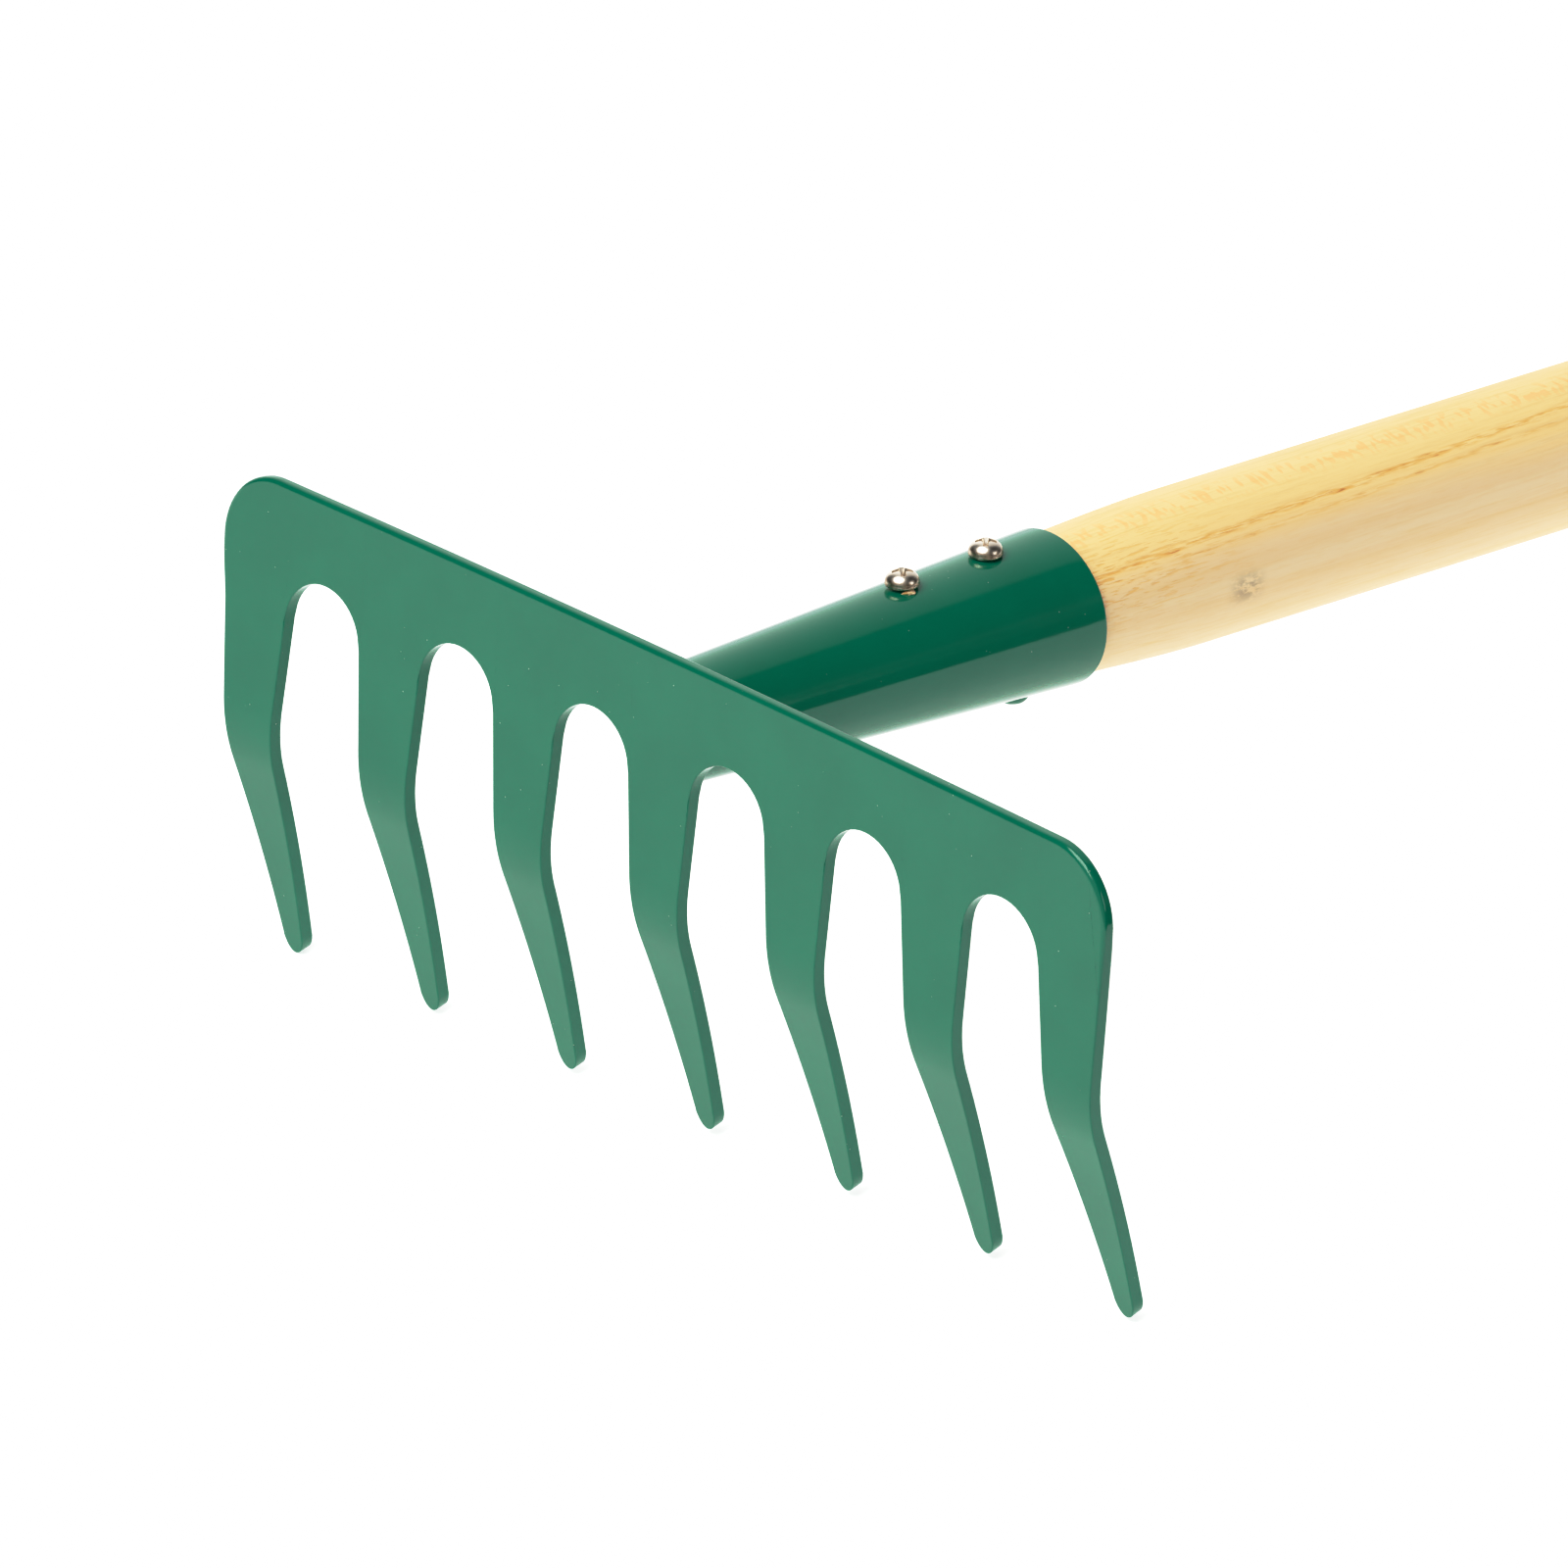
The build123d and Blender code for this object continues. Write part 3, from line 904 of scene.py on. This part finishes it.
def view_axes():
    """Right, up and backward directions of the camera."""
    back = Vector((sin(AZIMUTH) * cos(ELEVATION), -cos(AZIMUTH) * cos(ELEVATION), sin(ELEVATION)))
    right = Vector((cos(AZIMUTH), sin(AZIMUTH), 0.0))
    rolled = Matrix.Rotation(ROLL, 3, back)
    return rolled @ right, rolled @ back.cross(right), back


def make_camera():
    right, up, back = view_axes()
    data = bpy.data.cameras.new("camera")
    data.sensor_width = SENSOR_MM
    data.lens = FOCAL_MM
    camera = bpy.data.objects.new("camera", data)
    bpy.context.scene.collection.objects.link(camera)
    location = TOOL.translation + LOOK_AT + DISTANCE * back
    camera.matrix_world = Matrix.Translation(location) @ Matrix((right, up, back)).transposed().to_4x4()
    bpy.context.scene.camera = camera


def make_softbox(name, direction, distance, size, watts):
    """Square area light that faces the hub and doesn't show itself to the camera."""
    data = bpy.data.lights.new(name, "AREA")
    data.shape = "SQUARE"
    data.size = size
    data.energy = watts
    light = bpy.data.objects.new(name, data)
    light.visible_camera = False
    toward = Vector(direction).normalized()
    light.location = TOOL.translation + toward * distance
    light.rotation_mode = "QUATERNION"
    light.rotation_quaternion = toward.to_track_quat("Z", "Y")
    bpy.context.scene.collection.objects.link(light)


# Where the softboxes stand, seen from the rake.
KEY_SIDE = (0.08, -0.50, 0.86)
RIGHT_SIDE = (0.885, 0.399, 0.243)
KEY_WATTS = 35.0
SIDE_WATTS = 4.0

# Brightness of the studio's back wall straight behind, and how much it gains towards the left.
WALL = 0.46
WALL_GAIN = 0.86
WALL_RIGHT_END = 0.17
GLIMMER = 0.02

# The room behind the viewer, and a dim gap of light to the right and back.
ROOM = 0.42
GAP = 0.16
GAP_SIDE = (0.72, 0.66, 0.20)


def make_world():
    """A wall behind, brighter to the left, a dimmer room in front, and a dim gap. The camera sees white."""
    world = bpy.data.worlds.new("studio")
    bpy.context.scene.world = world
    world.use_nodes = True
    tree = world.node_tree
    tree.nodes.clear()
    heading = add(tree, "ShaderNodeTexCoord").outputs["Generated"]
    parts = add(tree, "ShaderNodeSeparateXYZ", {"Vector": heading}).outputs
    wall = calc(tree, "MULTIPLY_ADD", parts["X"], -WALL_GAIN, WALL)
    within = ramp(tree, parts["X"], WALL_RIGHT_END + 0.06, WALL_RIGHT_END - 0.06)
    behind = ramp(tree, parts["Y"], -0.25, 0.35)
    lit = calc(tree, "MULTIPLY", calc(tree, "MULTIPLY", wall, within), behind)
    not_left = ramp(tree, parts["X"], -0.45, -0.15)
    in_front = calc(tree, "MULTIPLY", ramp(tree, parts["Y"], -0.10, -0.45), not_left)
    room = calc(tree, "MULTIPLY", in_front, ROOM)
    toward_gap = add(tree, "ShaderNodeVectorMath", {0: heading, 1: GAP_SIDE}, operation="DOT_PRODUCT")
    gap = calc(tree, "MULTIPLY", ramp(tree, toward_gap.outputs["Value"], 0.990, 0.999), GAP)
    level = calc(tree, "MAXIMUM", calc(tree, "MAXIMUM", lit, room), calc(tree, "MAXIMUM", gap, GLIMMER))
    direct = add(tree, "ShaderNodeLightPath").outputs["Is Camera Ray"]
    seen = calc(tree, "MAXIMUM", level, direct)
    shader = add(tree, "ShaderNodeBackground", {"Color": (1.0, 1.0, 1.0, 1.0), "Strength": seen})
    add(tree, "ShaderNodeOutputWorld", {"Surface": shader.outputs[0]})


# The floor is a wide sheet of paper that ends a little to the right of the rake. It lies just under the
# lowest tip, which hangs below z = 0.
FLOOR_REACH = 6.0
FLOOR_RIGHT_END = 0.27
FLOOR_HEIGHT = -0.95 * MM


def make_floor():
    bm = bmesh.new()
    corners = ((-1, -1), (FLOOR_RIGHT_END / FLOOR_REACH, -1), (FLOOR_RIGHT_END / FLOOR_REACH, 1), (-1, 1))
    bm.faces.new([bm.verts.new((x * FLOOR_REACH, y * FLOOR_REACH, 0)) for x, y in corners])
    floor = finish_mesh(bm, "floor", Matrix.Translation((0, 0, FLOOR_HEIGHT)), floor_paper("floor_paper"))


# Tone curve of a product picture: darks kept, mid-tones and lights lifted, the pale ground pure white.
TONES = ((0.10, 0.085), (0.25, 0.25), (0.40, 0.53), (0.60, 0.82), (0.85, 1.0))


def set_tones():
    view = bpy.context.scene.view_settings
    view.view_transform = "Standard"
    view.use_curve_mapping = True
    view.curve_mapping.extend = "HORIZONTAL"
    curve = view.curve_mapping.curves[3]
    for x, y in TONES:
        curve.points.new(x, y)
    for point in curve.points[-2:]:
        point.handle_type = "VECTOR"
    view.curve_mapping.update()


def main():
    set_tones()
    make_camera()
    make_world()
    make_softbox("key", KEY_SIDE, 2.0, 1.5, KEY_WATTS)
    make_softbox("side", RIGHT_SIDE, 2.0, 0.8, SIDE_WATTS)
    make_floor()
    green = enamel("green_enamel_gloss")
    thick_green = enamel("green_enamel_on_weld", peel=2.5)
    wood = beech("pale_beech")
    plated = nickel("bright_nickel")
    make_rake_head(green)
    make_socket(green)
    make_socket_weld(thick_green)
    make_seam_tack(thick_green)
    make_handle(wood)
    front_seat = seat_matrix(FRONT_SCREW_FROM_MOUTH, -1, FRONT_SCREW_LIFT, radians(53))
    rear_seat = seat_matrix(REAR_SCREW_FROM_MOUTH, -1, REAR_SCREW_LIFT, radians(45))
    make_screw("front_screw", front_seat, plated)
    make_screw("rear_screw", rear_seat, plated)
    make_splinters(seat_matrix(FRONT_SCREW_FROM_MOUTH, -1), wood)


main()
